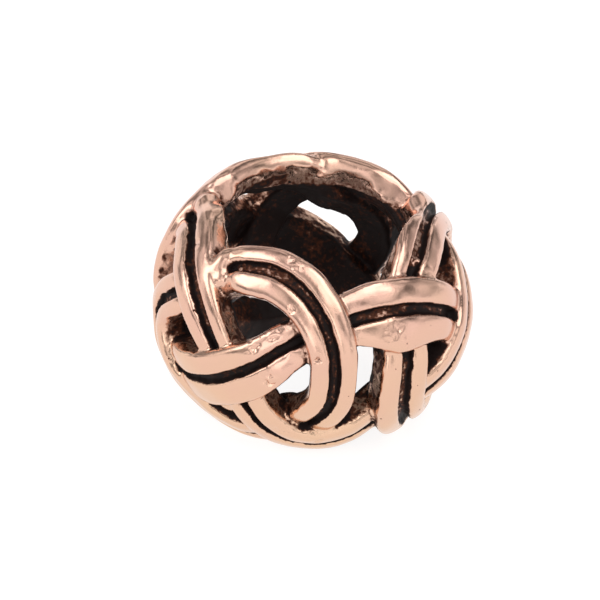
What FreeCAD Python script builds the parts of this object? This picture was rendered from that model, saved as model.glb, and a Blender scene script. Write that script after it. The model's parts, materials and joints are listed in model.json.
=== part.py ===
import FreeCAD, Part
import math
import os
from collections import namedtuple

os.makedirs("parts", exist_ok=True)

# All lengths are in millimetres, angles in degrees, +Z runs up along the hair hole.
# The bead is one casting: three closed rings stand side by side round the bead, and one
# double-ridged band winds round twice, weaving over and under the rings and itself.

# Skin of the bead: an oblate spheroid on which every band lies.
SKIN_RADIUS = 7.0
SKIN_HALF_HEIGHT = 6.3
BORE_RADIUS = 4.0
FOOT_HEIGHT = 4.78
BAND_THICKNESS = 1.35

# Shape of the cross-section shared by every band.
GROOVE_DEPTH = 0.46
GROOVE_DRAFT = 0.07
LIP_ROUND = 0.10
CROWN_INSET = 0.24
SHOULDER = 0.09
EDGE_DEPTH = 0.32
SIDE_DRAFT = 0.10

# Height of a band's crown above the skin where it dives under another one.
UNDER = -0.60
STATION_SPACING = 0.85
OVERLAP = 0.40
TAPER = 0.12
TAPER_RUN = 0.90
TANGENT_STEP = 0.02

# Rows run along the middle of a groove: azimuth from the front toward the right,
# latitude, lift of the crown above the skin, width of the left ridge, of the groove and
# of the right ridge, left and right as seen from outside when travelling down the table.
Row = namedtuple("Row", "azimuth latitude lift left groove right")

RING_FRONT = [
    Row(-52.0, 30.0, UNDER, 0.75, 0.50, 0.80),
    Row(-41.0, 40.3, -0.12, 0.78, 0.50, 0.90),
    Row(-30.0, 43.2, -0.02, 0.80, 0.58, 1.00),
    Row(-19.0, 43.7, 0.00, 0.82, 0.62, 1.00),
    Row(-7.5, 40.2, 0.00, 0.88, 0.60, 0.98),
    Row(2.5, 31.5, 0.05, 0.88, 0.54, 0.88),
    Row(8.1, 19.4, 0.10, 0.82, 0.50, 0.82),
    Row(9.9, 5.0, 0.05, 0.77, 0.52, 0.78),
    Row(9.0, -8.8, 0.00, 0.78, 0.52, 0.78),
    Row(4.2, -20.6, -0.15, 0.82, 0.50, 0.82),
    Row(-6.0, -34.0, UNDER, 0.85, 0.45, 0.85),
    Row(-17.0, -41.0, -0.25, 0.80, 0.45, 0.85),
    Row(-29.0, -43.6, -0.05, 0.80, 0.50, 0.95),
    Row(-43.0, -41.2, 0.02, 0.80, 0.50, 1.05),
    Row(-56.0, -33.0, 0.05, 0.80, 0.50, 1.00),
    Row(-68.5, -23.0, 0.10, 0.80, 0.50, 0.85),
    Row(-75.0, -13.5, 0.05, 0.80, 0.50, 0.80),
    Row(-77.2, -4.0, -0.05, 0.80, 0.50, 0.75),
    Row(-74.6, 4.5, -0.10, 0.80, 0.52, 0.72),
    Row(-67.5, 13.5, -0.22, 0.80, 0.52, 0.72),
]
RING_RIGHT = [
    Row(44.5, 26.0, UNDER, 0.80, 0.60, 0.95),
    Row(51.5, 37.5, -0.25, 0.66, 0.62, 0.95),
    Row(57.0, 41.6, -0.05, 0.66, 0.66, 0.98),
    Row(65.0, 44.6, 0.00, 0.76, 0.66, 0.98),
    Row(75.0, 46.7, 0.00, 0.82, 0.64, 1.00),
    Row(87.0, 47.2, 0.00, 0.86, 0.60, 1.00),
    Row(99.5, 44.8, 0.00, 0.88, 0.58, 0.95),
    Row(112.0, 38.0, 0.05, 0.88, 0.54, 0.88),
    Row(122.5, 26.0, 0.10, 0.82, 0.50, 0.82),
    Row(128.5, 10.0, 0.05, 0.77, 0.52, 0.78),
    Row(128.5, -7.0, 0.00, 0.78, 0.52, 0.78),
    Row(123.0, -21.0, -0.15, 0.82, 0.50, 0.82),
    Row(112.0, -34.0, UNDER, 0.85, 0.45, 0.85),
    Row(101.0, -41.0, -0.25, 0.80, 0.45, 0.85),
    Row(88.0, -43.5, -0.05, 0.80, 0.50, 0.85),
    Row(73.0, -43.0, 0.00, 0.80, 0.50, 0.85),
    Row(58.5, -39.5, 0.05, 0.85, 0.50, 0.85),
    Row(46.5, -31.0, 0.10, 0.95, 0.55, 0.90),
    Row(40.6, -20.0, 0.05, 0.95, 0.62, 0.95),
    Row(38.8, -8.0, -0.05, 0.95, 0.64, 1.00),
    Row(39.3, 3.0, -0.15, 0.95, 0.64, 1.05),
    Row(41.0, 14.0, -0.38, 0.90, 0.62, 1.05),
]
RING_BACK = [
    Row(176.0, 34.5, UNDER, 0.80, 0.50, 0.80),
    Row(188.0, 41.5, -0.22, 0.82, 0.50, 0.90),
    Row(200.0, 44.5, -0.03, 0.85, 0.52, 0.95),
    Row(211.5, 45.5, 0.00, 0.85, 0.55, 1.00),
    Row(224.0, 45.5, 0.16, 0.85, 0.55, 1.00),
    Row(237.0, 42.0, 0.20, 0.88, 0.55, 0.98),
    Row(248.0, 33.0, 0.12, 0.88, 0.54, 0.90),
    Row(254.5, 20.5, 0.10, 0.82, 0.52, 0.85),
    Row(256.5, 5.5, 0.05, 0.78, 0.52, 0.80),
    Row(255.5, -8.8, 0.00, 0.78, 0.52, 0.78),
    Row(250.0, -20.6, -0.15, 0.82, 0.50, 0.82),
    Row(238.5, -34.0, UNDER, 0.85, 0.45, 0.85),
    Row(226.0, -41.0, -0.25, 0.80, 0.45, 0.85),
    Row(212.5, -43.5, -0.05, 0.80, 0.50, 0.85),
    Row(194.0, -40.5, 0.00, 0.80, 0.50, 0.85),
    Row(177.5, -33.0, 0.05, 0.80, 0.50, 0.85),
    Row(166.0, -22.5, 0.10, 0.80, 0.50, 0.85),
    Row(157.5, -12.0, 0.05, 0.80, 0.50, 0.80),
    Row(153.5, -1.0, -0.05, 0.80, 0.50, 0.78),
    Row(155.0, 10.0, -0.10, 0.80, 0.52, 0.75),
    Row(162.0, 22.0, -0.25, 0.80, 0.52, 0.75),
]
WAVE = [
    Row(-108.0, 29.0, UNDER, 0.80, 0.50, 0.90),
    Row(-97.5, 34.2, -0.14, 0.85, 0.55, 0.90),
    Row(-86.0, 38.2, -0.05, 0.95, 0.58, 0.95),
    Row(-73.5, 35.6, 0.00, 1.00, 0.60, 0.95),
    Row(-61.0, 29.8, 0.08, 0.88, 0.62, 0.95),
    Row(-50.0, 21.8, 0.05, 0.74, 0.62, 0.90),
    Row(-41.8, 13.0, -0.10, 0.70, 0.60, 0.85),
    Row(-37.5, 6.5, -0.25, 0.72, 0.55, 0.88),
    Row(-31.0, -5.0, UNDER, 0.85, 0.50, 0.90),
    Row(-24.0, -18.0, -0.25, 1.00, 0.42, 0.90),
    Row(-16.5, -28.5, -0.05, 1.00, 0.40, 0.90),
    Row(-5.5, -36.0, 0.05, 0.95, 0.40, 0.95),
    Row(8.0, -38.0, 0.05, 0.95, 0.42, 0.95),
    Row(23.0, -35.0, -0.15, 0.95, 0.45, 0.95),
    Row(40.0, -27.0, UNDER, 0.95, 0.50, 0.90),
    Row(51.0, -19.0, -0.25, 0.90, 0.50, 0.95),
    Row(62.0, -10.5, 0.00, 0.85, 0.52, 1.10),
    Row(73.0, 1.0, 0.08, 0.85, 0.52, 1.20),
    Row(83.0, 13.0, 0.00, 0.80, 0.50, 1.00),
    Row(94.0, 21.0, -0.15, 0.80, 0.50, 0.90),
    Row(107.0, 25.5, -0.40, 0.80, 0.50, 0.90),
    Row(121.0, 28.5, UNDER, 0.80, 0.50, 0.90),
    Row(135.0, 33.5, -0.25, 0.90, 0.55, 0.95),
    Row(150.0, 38.0, -0.05, 1.05, 0.58, 0.95),
    Row(166.0, 38.5, 0.00, 1.10, 0.60, 0.95),
    Row(180.5, 34.5, 0.08, 0.98, 0.60, 0.80),
    Row(192.5, 25.5, 0.05, 0.82, 0.60, 0.78),
    Row(201.0, 14.5, -0.10, 0.75, 0.60, 0.85),
    Row(206.0, 6.5, -0.42, 0.75, 0.55, 0.88),
    Row(211.5, -5.0, UNDER, 0.85, 0.50, 0.90),
    Row(218.5, -18.0, -0.25, 1.00, 0.45, 0.90),
    Row(226.0, -28.5, -0.05, 1.00, 0.42, 0.90),
    Row(237.0, -36.0, 0.05, 0.95, 0.42, 0.95),
    Row(252.0, -38.0, 0.05, 0.95, 0.42, 0.95),
    Row(268.0, -34.5, -0.15, 0.95, 0.45, 0.95),
    Row(282.0, -28.0, -0.45, 0.95, 0.50, 0.90),
    Row(292.5, -21.0, UNDER, 0.95, 0.50, 0.95),
    Row(302.5, -16.5, -0.16, 0.90, 0.48, 1.20),
    Row(312.5, -13.4, 0.00, 0.95, 0.48, 1.35),
    Row(323.0, -8.0, 0.08, 1.00, 0.48, 1.30),
    Row(332.5, -1.3, 0.05, 1.00, 0.48, 1.30),
    Row(342.0, 6.8, 0.00, 0.90, 0.48, 1.15),
    Row(350.5, 14.5, -0.25, 0.85, 0.50, 0.95),
    Row(364.0, 23.0, UNDER, 0.85, 0.55, 0.95),
    Row(376.3, 27.2, -0.25, 1.00, 0.62, 0.95),
    Row(387.0, 28.5, -0.05, 1.15, 0.60, 1.30),
    Row(398.0, 27.7, 0.08, 1.16, 0.56, 1.60),
    Row(412.5, 23.1, 0.03, 1.15, 0.54, 1.35),
    Row(423.8, 16.2, -0.05, 1.10, 0.54, 1.05),
    Row(431.5, 9.0, -0.25, 0.98, 0.52, 1.00),
    Row(440.0, -3.0, UNDER, 0.90, 0.50, 0.95),
    Row(452.0, -17.0, -0.25, 0.95, 0.45, 0.90),
    Row(463.0, -28.5, -0.05, 0.95, 0.42, 0.90),
    Row(474.5, -36.0, 0.05, 0.95, 0.42, 0.95),
    Row(489.0, -38.0, 0.05, 0.95, 0.42, 0.95),
    Row(505.0, -34.5, -0.15, 0.95, 0.45, 0.95),
    Row(515.0, -28.5, -0.42, 0.95, 0.50, 0.90),
    Row(526.0, -21.5, UNDER, 0.95, 0.50, 0.90),
    Row(537.0, -14.0, -0.25, 1.00, 0.50, 1.00),
    Row(551.0, -6.5, 0.00, 1.05, 0.52, 1.25),
    Row(561.5, -1.0, 0.08, 0.92, 0.52, 1.25),
    Row(572.0, 5.5, 0.00, 0.82, 0.50, 1.10),
    Row(583.5, 14.0, -0.20, 0.80, 0.50, 0.95),
    Row(597.0, 22.5, -0.42, 0.80, 0.50, 0.90),
]
WAVE_TURN = 720.0


def skin_normal(point):
    """Outward normal of the skin at a point on it."""
    normal = FreeCAD.Vector(
        point.x / SKIN_RADIUS ** 2,
        point.y / SKIN_RADIUS ** 2,
        point.z / SKIN_HALF_HEIGHT ** 2,
    )
    normal.normalize()
    return normal


def skin_point(azimuth, latitude):
    """Point of the skin at an azimuth and a latitude."""
    turn = math.radians(azimuth)
    rise = math.radians(latitude)
    radius = SKIN_RADIUS * math.cos(rise)
    return FreeCAD.Vector(
        radius * math.sin(turn), -radius * math.cos(turn), SKIN_HALF_HEIGHT * math.sin(rise)
    )


class ClosedRun:
    """A smooth closed path through the rows of a table."""

    def __init__(self, rows, turn):
        self.rows = rows
        self.turn = turn
        self.count = len(rows)
        self.knots = [0.0]
        for index in range(self.count):
            here = self.row(index)
            after = self.row(index + 1)
            step = skin_point(here.azimuth, here.latitude).distanceToPoint(
                skin_point(after.azimuth, after.latitude)
            )
            self.knots.append(self.knots[-1] + step)
        self.length = self.knots[-1]

    def row(self, index):
        """Row of any index; the azimuth grows by one turn with every lap."""
        lap, place = divmod(index, self.count)
        values = self.rows[place]
        return values._replace(azimuth=values.azimuth + self.turn * lap)

    def knot(self, index):
        """Distance along the path at a row of any index."""
        lap, place = divmod(index, self.count)
        return self.knots[place] + self.length * lap

    def slope(self, index, column):
        """Rate of change of a column at a row."""
        before = self.knot(index) - self.knot(index - 1)
        after = self.knot(index + 1) - self.knot(index)
        rate_before = (self.row(index)[column] - self.row(index - 1)[column]) / before
        rate_after = (self.row(index + 1)[column] - self.row(index)[column]) / after
        return (rate_before * after + rate_after * before) / (before + after)

    def at(self, distance):
        """All columns at any distance along the path."""
        lap = math.floor(distance / self.length)
        place = distance - lap * self.length
        index = 0
        while index < self.count - 1 and self.knots[index + 1] < place:
            index += 1
        span = self.knots[index + 1] - self.knots[index]
        part = (place - self.knots[index]) / span
        blend = (
            2 * part ** 3 - 3 * part ** 2 + 1,
            (part ** 3 - 2 * part ** 2 + part) * span,
            -2 * part ** 3 + 3 * part ** 2,
            (part ** 3 - part ** 2) * span,
        )
        here = self.row(index)
        after = self.row(index + 1)
        values = []
        for column in range(len(here)):
            value = blend[0] * here[column] + blend[2] * after[column]
            value += blend[1] * self.slope(index, column)
            value += blend[3] * self.slope(index + 1, column)
            values.append(value)
        values[0] += self.turn * lap
        return Row(*values)

    def spans(self):
        """Distances where the path dives under, in pairs of start and end."""
        dives = [index for index in range(self.count) if self.rows[index].lift == UNDER]
        pairs = []
        for place, start in enumerate(dives):
            if place + 1 < len(dives):
                pairs.append((self.knot(start), self.knot(dives[place + 1])))
            else:
                pairs.append((self.knot(start), self.knot(dives[0] + self.count)))
        return pairs


def drop_to_skin(centre, side, normal, across):
    """Point of the skin in the plane of side and normal, at a distance across."""
    weight = (1 / SKIN_RADIUS ** 2, 1 / SKIN_RADIUS ** 2, 1 / SKIN_HALF_HEIGHT ** 2)
    start = centre + side * across
    a = sum(w * n * n for w, n in zip(weight, normal))
    b = 2 * sum(w * n * s for w, n, s in zip(weight, normal, start))
    c = sum(w * s * s for w, s in zip(weight, start)) - 1
    depth = (-b + math.sqrt(b * b - 4 * a * c)) / (2 * a)
    return start + normal * depth


def profile(left, groove, right, shrink):
    """Outline of a double-ridged band: across the path, and up from its crown."""
    half = groove / 2
    far_left = half + left - shrink
    far_right = shrink - half - right
    top = -shrink
    bottom = shrink - BAND_THICKNESS
    return [
        (far_left, top - EDGE_DEPTH),
        (far_left - SHOULDER, top - SHOULDER),
        (far_left - CROWN_INSET, top),
        (half + LIP_ROUND, top),
        (half, top - LIP_ROUND),
        (half - GROOVE_DRAFT, top - GROOVE_DEPTH),
        (GROOVE_DRAFT - half, top - GROOVE_DEPTH),
        (-half, top - LIP_ROUND),
        (-half - LIP_ROUND, top),
        (far_right + CROWN_INSET, top),
        (far_right + SHOULDER, top - SHOULDER),
        (far_right, top - EDGE_DEPTH),
        (far_right + SIDE_DRAFT, bottom),
        (far_left - SIDE_DRAFT, bottom),
    ]


def section(run, distance, shrink):
    """Flat closed outline of a band at a distance along its path."""
    here = run.at(distance)
    centre = skin_point(here.azimuth, here.latitude)
    before = run.at(distance - TANGENT_STEP)
    after = run.at(distance + TANGENT_STEP)
    ahead = skin_point(after.azimuth, after.latitude).sub(
        skin_point(before.azimuth, before.latitude)
    )
    normal = skin_normal(centre)
    side = normal.cross(ahead)
    side.normalize()
    points = []
    for across, up in profile(here.left, here.groove, here.right, shrink):
        base = drop_to_skin(centre, side, normal, across)
        outward = skin_normal(base)
        outward = side * outward.dot(side) + normal * outward.dot(normal)
        outward.normalize()
        points.append(base + outward * (here.lift + up))
    return points + [points[0]]


def arc_solid(run, dive_in, dive_out):
    """One over-arc of a band. Its ends taper inside the band above and overlap the next arc."""
    start = dive_in - OVERLAP
    end = dive_out + OVERLAP
    count = int(round((end - start) / STATION_SPACING))
    outlines = []
    for step in range(count + 1):
        distance = start + (end - start) * step / count
        inset = min(distance - start, end - distance)
        shrink = TAPER * max(0.0, 1 - inset / TAPER_RUN)
        outlines.append(Part.makePolygon(section(run, distance, shrink)))
    return Part.makeLoft(outlines, True, False)


def woven_body():
    """All over-arcs of the three rings and the band, fused into one solid."""
    runs = [
        ClosedRun(RING_FRONT, 0.0),
        ClosedRun(RING_RIGHT, 0.0),
        ClosedRun(RING_BACK, 0.0),
        ClosedRun(WAVE, WAVE_TURN),
    ]
    body = None
    for run in runs:
        for dive_in, dive_out in run.spans():
            arc = arc_solid(run, dive_in, dive_out)
            body = arc if body is None else body.fuse(arc)
    return body


def finished_bead():
    """The woven body with its hair hole bored and its foot trimmed level."""
    body = woven_body()
    reach = 2 * SKIN_RADIUS
    up = FreeCAD.Vector(0, 0, 1)
    bore = Part.makeCylinder(BORE_RADIUS, 2 * reach, FreeCAD.Vector(0, 0, -reach), up)
    corner = FreeCAD.Vector(-reach, -reach, -FOOT_HEIGHT - reach)
    below = Part.makeBox(2 * reach, 2 * reach, reach, corner)
    body = body.cut(bore).cut(below)
    bead = max(body.Solids, key=lambda solid: solid.Volume)
    bead.translate(FreeCAD.Vector(0, 0, FOOT_HEIGHT))
    return bead


knot_bead = finished_bead()
knot_bead.exportStep(os.path.join("parts", "knot_bead.step"))
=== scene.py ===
"""An openwork knot bead for a lock of hair, cast in bronze, on a pale studio floor.

The bead is modelled in millimetres round its own middle, one straight double-ridged bar for
each band, which is then laid along its path on the bead's skin and joined to the others. The
finished casting is brought to metres and set on its foot, where the frame has it.
"""
import json
import logging
import math
from dataclasses import dataclass, field
from enum import Enum
from typing import Callable, NamedTuple, Optional, Sequence

import bmesh
import bpy
import numpy as np
from mathutils import Matrix, Vector, noise
from mathutils.bvhtree import BVHTree

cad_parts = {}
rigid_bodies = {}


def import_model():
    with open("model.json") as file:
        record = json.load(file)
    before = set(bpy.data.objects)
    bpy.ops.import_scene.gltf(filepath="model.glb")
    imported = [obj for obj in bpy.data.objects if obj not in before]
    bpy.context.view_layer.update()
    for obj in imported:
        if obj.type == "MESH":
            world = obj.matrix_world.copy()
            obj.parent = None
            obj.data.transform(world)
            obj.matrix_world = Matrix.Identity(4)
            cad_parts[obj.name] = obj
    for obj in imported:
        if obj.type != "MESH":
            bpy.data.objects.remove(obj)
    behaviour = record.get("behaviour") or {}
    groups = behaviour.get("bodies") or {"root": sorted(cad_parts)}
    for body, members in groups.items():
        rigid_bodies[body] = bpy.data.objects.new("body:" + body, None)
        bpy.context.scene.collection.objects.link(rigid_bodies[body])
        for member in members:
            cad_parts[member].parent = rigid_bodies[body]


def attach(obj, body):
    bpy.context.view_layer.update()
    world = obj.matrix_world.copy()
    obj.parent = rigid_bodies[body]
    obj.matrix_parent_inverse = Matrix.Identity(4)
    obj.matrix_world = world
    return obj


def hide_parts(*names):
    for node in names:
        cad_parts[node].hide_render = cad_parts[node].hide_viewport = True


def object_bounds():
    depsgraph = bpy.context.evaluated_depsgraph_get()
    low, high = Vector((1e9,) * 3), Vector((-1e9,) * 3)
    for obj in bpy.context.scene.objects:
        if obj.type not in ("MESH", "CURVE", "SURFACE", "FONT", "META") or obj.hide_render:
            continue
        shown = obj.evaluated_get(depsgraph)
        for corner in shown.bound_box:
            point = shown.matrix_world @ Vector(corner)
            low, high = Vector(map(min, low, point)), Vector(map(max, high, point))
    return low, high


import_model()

Array = np.ndarray
Pair = tuple[float, float]
Piece = bpy.types.Object
Socket = bpy.types.NodeSocket

CAD_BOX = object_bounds()
LOG = logging.getLogger("knot_bead")
MM = 0.001
# How far a band lies off the skin, in millimetres, where it passes under another.
UNDER = -0.60
# Two places of a section this close together are the same, in millimetres.
SAME = 1e-6


class Row(NamedTuple):
    """One place on a band's path, in degrees and millimetres.

    The azimuth runs from the front toward the right. The lift is the crown's height over the
    skin. The last three are the widths of the left ridge, the groove and the right ridge.
    """

    azimuth: float
    latitude: float
    lift: float
    left: float
    groove: float
    right: float


class Nodule(NamedTuple):
    """A drop of metal that filled a bubble in the mould, in degrees and millimetres."""

    azimuth: float
    latitude: float
    depth: float
    radius: float
    height: float


class Pitting(NamedTuple):
    """A patch where the casting came out porous, in degrees and millimetres."""

    azimuth: float
    latitude: float
    radius: float
    depth: float


class Web(NamedTuple):
    """Metal that closes the gap between two bands: its half sizes run round, up and out."""

    azimuth: float
    latitude: float
    depth: float
    half_width: float
    half_height: float
    half_thickness: float


class Joint(NamedTuple):
    """A place where two bands run together smoothly, in degrees and millimetres."""

    azimuth: float
    latitude: float
    radius: float
    passes: int


class Wave(NamedTuple):
    """One layer of unevenness, in millimetres, with a seed that keeps it apart from others."""

    wavelength: float
    seed: float
    depth: float


class Change(Enum):
    """What a second piece does to the casting."""

    JOINED = "UNION"
    CUT_AWAY = "DIFFERENCE"


# The three rings, from where each comes out from under the band, clockwise as seen from outside.
RING_FRONT = [Row(*each) for each in (
    (-52, 30, UNDER, 0.75, 0.5, 0.8), (-41, 40.3, -0.12, 0.78, 0.5, 0.9),
    (-30, 43.2, -0.02, 0.8, 0.58, 1), (-19, 43.7, 0, 0.82, 0.62, 1),
    (-7.5, 40.2, 0, 0.88, 0.6, 0.98), (2.5, 31.5, 0.05, 0.88, 0.54, 0.88),
    (8.1, 19.4, 0.1, 0.82, 0.5, 0.82), (9.9, 5, 0.05, 0.77, 0.52, 0.78),
    (9, -8.8, 0, 0.78, 0.52, 0.78), (4.2, -20.6, -0.15, 0.82, 0.5, 0.82),
    (-6, -34, UNDER, 0.85, 0.45, 0.85), (-17, -41, -0.25, 0.8, 0.45, 0.85),
    (-29, -43.6, -0.05, 0.8, 0.5, 0.95), (-43, -41.2, 0.02, 0.8, 0.5, 1.05),
    (-56, -33, 0.05, 0.8, 0.5, 1), (-68.5, -23, 0.1, 0.8, 0.5, 0.85),
    (-75, -13.5, 0.05, 0.8, 0.5, 0.8), (-77.2, -4, -0.05, 0.8, 0.5, 0.75),
    (-74.6, 4.5, -0.1, 0.8, 0.52, 0.72), (-67.5, 13.5, -0.22, 0.8, 0.52, 0.72),
)]
RING_RIGHT = [Row(*each) for each in (
    (44.5, 26, UNDER, 0.8, 0.6, 0.95), (51.5, 37.5, -0.25, 0.66, 0.62, 0.95),
    (57, 41.6, -0.05, 0.66, 0.66, 0.98), (65, 44.6, 0, 0.76, 0.66, 0.98),
    (75, 46.7, 0, 0.82, 0.64, 1), (87, 47.2, 0, 0.86, 0.6, 1),
    (99.5, 44.8, 0, 0.88, 0.58, 0.95), (112, 38, 0.05, 0.88, 0.54, 0.88),
    (122.5, 26, 0.1, 0.82, 0.5, 0.82), (128.5, 10, 0.05, 0.77, 0.52, 0.78),
    (128.5, -7, 0, 0.78, 0.52, 0.78), (123, -21, -0.15, 0.82, 0.5, 0.82),
    (112, -34, UNDER, 0.85, 0.45, 0.85), (101, -41, -0.25, 0.8, 0.45, 0.85),
    (88, -43.5, -0.05, 0.8, 0.5, 0.85), (73, -43, 0, 0.8, 0.5, 0.85),
    (58.5, -39.5, 0.05, 0.85, 0.5, 0.85), (46.5, -31, 0.1, 0.95, 0.55, 0.9),
    (40.6, -20, 0.05, 0.95, 0.62, 0.95), (38.8, -8, -0.05, 0.95, 0.64, 1),
    (39.3, 3, -0.15, 0.95, 0.64, 1.05), (41, 14, -0.38, 0.9, 0.62, 1.05),
)]
RING_BACK = [Row(*each) for each in (
    (176, 34.5, UNDER, 0.8, 0.5, 0.8), (188, 41.5, -0.22, 0.82, 0.5, 0.9),
    (200, 44.5, -0.03, 0.85, 0.52, 0.95), (211.5, 45.5, 0, 0.85, 0.55, 1),
    (224, 45.5, 0.16, 0.85, 0.55, 1), (237, 42, 0.2, 0.88, 0.55, 0.98),
    (248, 33, 0.12, 0.88, 0.54, 0.9), (254.5, 20.5, 0.1, 0.82, 0.52, 0.85),
    (256.5, 5.5, 0.05, 0.78, 0.52, 0.8), (255.5, -8.8, 0, 0.78, 0.52, 0.78),
    (250, -20.6, -0.15, 0.82, 0.5, 0.82), (238.5, -34, UNDER, 0.85, 0.45, 0.85),
    (226, -41, -0.25, 0.8, 0.45, 0.85), (212.5, -43.5, -0.05, 0.8, 0.5, 0.85),
    (194, -40.5, 0, 0.8, 0.5, 0.85), (177.5, -33, 0.05, 0.8, 0.5, 0.85),
    (166, -22.5, 0.1, 0.8, 0.5, 0.85), (157.5, -12, 0.05, 0.8, 0.5, 0.8),
    (153.5, -1, -0.05, 0.8, 0.5, 0.78), (155, 10, -0.1, 0.8, 0.52, 0.75),
    (162, 22, -0.25, 0.8, 0.52, 0.75),
)]
# The band that winds round twice, weaving through the rings from left to right.
BAND_FIRST_LAP = [Row(*each) for each in (
    (-108, 29, UNDER, 0.8, 0.5, 0.9), (-97.5, 34.2, -0.14, 0.85, 0.55, 0.9),
    (-86, 38.2, -0.05, 0.95, 0.58, 0.95), (-73.5, 35.6, 0, 1, 0.6, 0.95),
    (-61, 29.8, 0.08, 0.88, 0.62, 0.95), (-50, 21.8, 0.05, 0.74, 0.62, 0.9),
    (-41.8, 13, -0.1, 0.7, 0.6, 0.85), (-37.5, 6.5, -0.25, 0.72, 0.55, 0.88),
    (-31, -5, UNDER, 0.85, 0.5, 0.9), (-24, -18, -0.25, 1, 0.42, 0.9),
    (-16.5, -28.5, -0.05, 1, 0.4, 0.9), (-5.5, -36, 0.05, 0.95, 0.4, 0.95),
    (8, -38, 0.05, 0.95, 0.42, 0.95), (23, -35, -0.15, 0.95, 0.45, 0.95),
    (40, -27, UNDER, 0.95, 0.5, 0.9), (51, -19, -0.25, 0.9, 0.5, 0.95),
    (62, -10.5, 0, 0.85, 0.52, 1.1), (73, 1, 0.08, 0.85, 0.52, 1.2),
    (83, 13, 0, 0.8, 0.5, 1), (94, 21, -0.15, 0.8, 0.5, 0.9),
    (107, 25.5, -0.4, 0.8, 0.5, 0.9), (121, 28.5, UNDER, 0.8, 0.5, 0.9),
    (135, 33.5, -0.25, 0.9, 0.55, 0.95), (150, 38, -0.05, 1.05, 0.58, 0.95),
    (166, 38.5, 0, 1.1, 0.6, 0.95), (180.5, 34.5, 0.08, 0.98, 0.6, 0.8),
    (192.5, 25.5, 0.05, 0.82, 0.6, 0.78), (201, 14.5, -0.1, 0.75, 0.6, 0.85),
    (206, 6.5, -0.42, 0.75, 0.55, 0.88), (211.5, -5, UNDER, 0.85, 0.5, 0.9),
    (218.5, -18, -0.25, 1, 0.45, 0.9), (226, -28.5, -0.05, 1, 0.42, 0.9),
    (237, -36, 0.05, 0.95, 0.42, 0.95), (252, -38, 0.05, 0.95, 0.42, 0.95),
    (268, -34.5, -0.15, 0.95, 0.45, 0.95), (282, -28, -0.45, 0.95, 0.5, 0.9),
)]
BAND_SECOND_LAP = [Row(*each) for each in (
    (292.5, -21, UNDER, 0.95, 0.5, 0.95), (302.5, -16.5, -0.16, 0.9, 0.48, 1.2),
    (312.5, -13.4, 0, 0.95, 0.48, 1.35), (323, -8, 0.08, 1, 0.48, 1.3),
    (332.5, -1.3, 0.05, 1, 0.48, 1.3), (342, 6.8, 0, 0.9, 0.48, 1.15),
    (350.5, 14.5, -0.25, 0.85, 0.5, 0.95), (364, 23, UNDER, 0.85, 0.55, 0.95),
    (376.3, 27.2, -0.25, 1, 0.62, 0.95), (387, 28.5, -0.05, 1.15, 0.6, 1.3),
    (398, 27.7, 0.08, 1.16, 0.56, 1.6), (412.5, 23.1, 0.03, 1.15, 0.54, 1.35),
    (423.8, 16.2, -0.05, 1.1, 0.54, 1.05), (431.5, 9, -0.25, 0.98, 0.52, 1),
    (440, -3, UNDER, 0.9, 0.5, 0.95), (452, -17, -0.25, 0.95, 0.45, 0.9),
    (463, -28.5, -0.05, 0.95, 0.42, 0.9), (474.5, -36, 0.05, 0.95, 0.42, 0.95),
    (489, -38, 0.05, 0.95, 0.42, 0.95), (505, -34.5, -0.15, 0.95, 0.45, 0.95),
    (515, -28.5, -0.42, 0.95, 0.5, 0.9), (526, -21.5, UNDER, 0.95, 0.5, 0.9),
    (537, -14, -0.25, 1, 0.5, 1), (551, -6.5, 0, 1.05, 0.52, 1.25),
    (561.5, -1, 0.08, 0.92, 0.52, 1.25), (572, 5.5, 0, 0.82, 0.5, 1.1),
    (583.5, 14, -0.2, 0.8, 0.5, 0.95), (597, 22.5, -0.42, 0.8, 0.5, 0.9),
)]

# Creases that are smoothed away, on the left of the front and on the far rim.
JOINTS = [
    Joint(-47.5, 40, 0.85, 8),
    Joint(-99, 42, 0.9, 10),
    Joint(-87, 49.5, 1, 22),
    Joint(-93, 50.5, 0.9, 24),
    Joint(-81, 52.5, 0.8, 16),
    Joint(-63, -13, 0.6, 10),
    Joint(180, 57, 0.9, 25),
]
# Metal that fills the corners between bands, on the left and below the front.
WEBS = [
    Web(-49.5, 38.5, -0.45, 0.45, 0.85, 0.5),
    Web(-45.5, 33.5, -0.52, 0.34, 0.5, 0.45),
    Web(-99.5, 42, -0.45, 0.6, 0.7, 0.5),
    Web(-86.5, 50, -0.72, 0.7, 0.5, 0.46),
    Web(-34, -24.5, -0.62, 0.8, 0.5, 0.36),
]
# Drops that stand in the grooves on the front.
NODULES = [
    Nodule(-38.2, 40.7, -0.45, 0.17, 0.26),
    Nodule(18.3, 27.3, -0.42, 0.2, 0.3),
    Nodule(-7.8, 15.6, -0.42, 0.2, 0.3),
    Nodule(60.6, 41.4, -0.42, 0.14, 0.16),
]
# Porous patches on the ridges that face the front.
PITTED = [
    Pitting(-14, 20.9, 0.5, 0.16),
    Pitting(-21, 14, 0.45, 0.13),
    Pitting(-13, 1.5, 0.55, 0.15),
    Pitting(-9.5, 48.8, 0.5, 0.1),
    Pitting(3.2, 12.7, 0.28, 0.12),
    Pitting(-8.4, 30.7, 0.25, 0.08),
    Pitting(-7, -24.5, 0.6, 0.15),
    Pitting(5, -30, 0.55, 0.12),
    Pitting(33, 19.5, 0.7, 0.06),
    Pitting(-66, 36, 0.55, 0.07),
    Pitting(-62, -14, 0.6, 0.1),
]

# Unevenness of the tumbled ridges, of the walls that tumbling doesn't reach, and of the pores.
LUMPS = (Wave(1.1, 5.1, 0.022), Wave(0.45, 8.3, 0.008))
COARSE = (Wave(0.55, 2.2, 0.05), Wave(0.25, 9.4, 0.025))
PORES = Wave(0.24, 1.7, 2.0)


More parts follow.
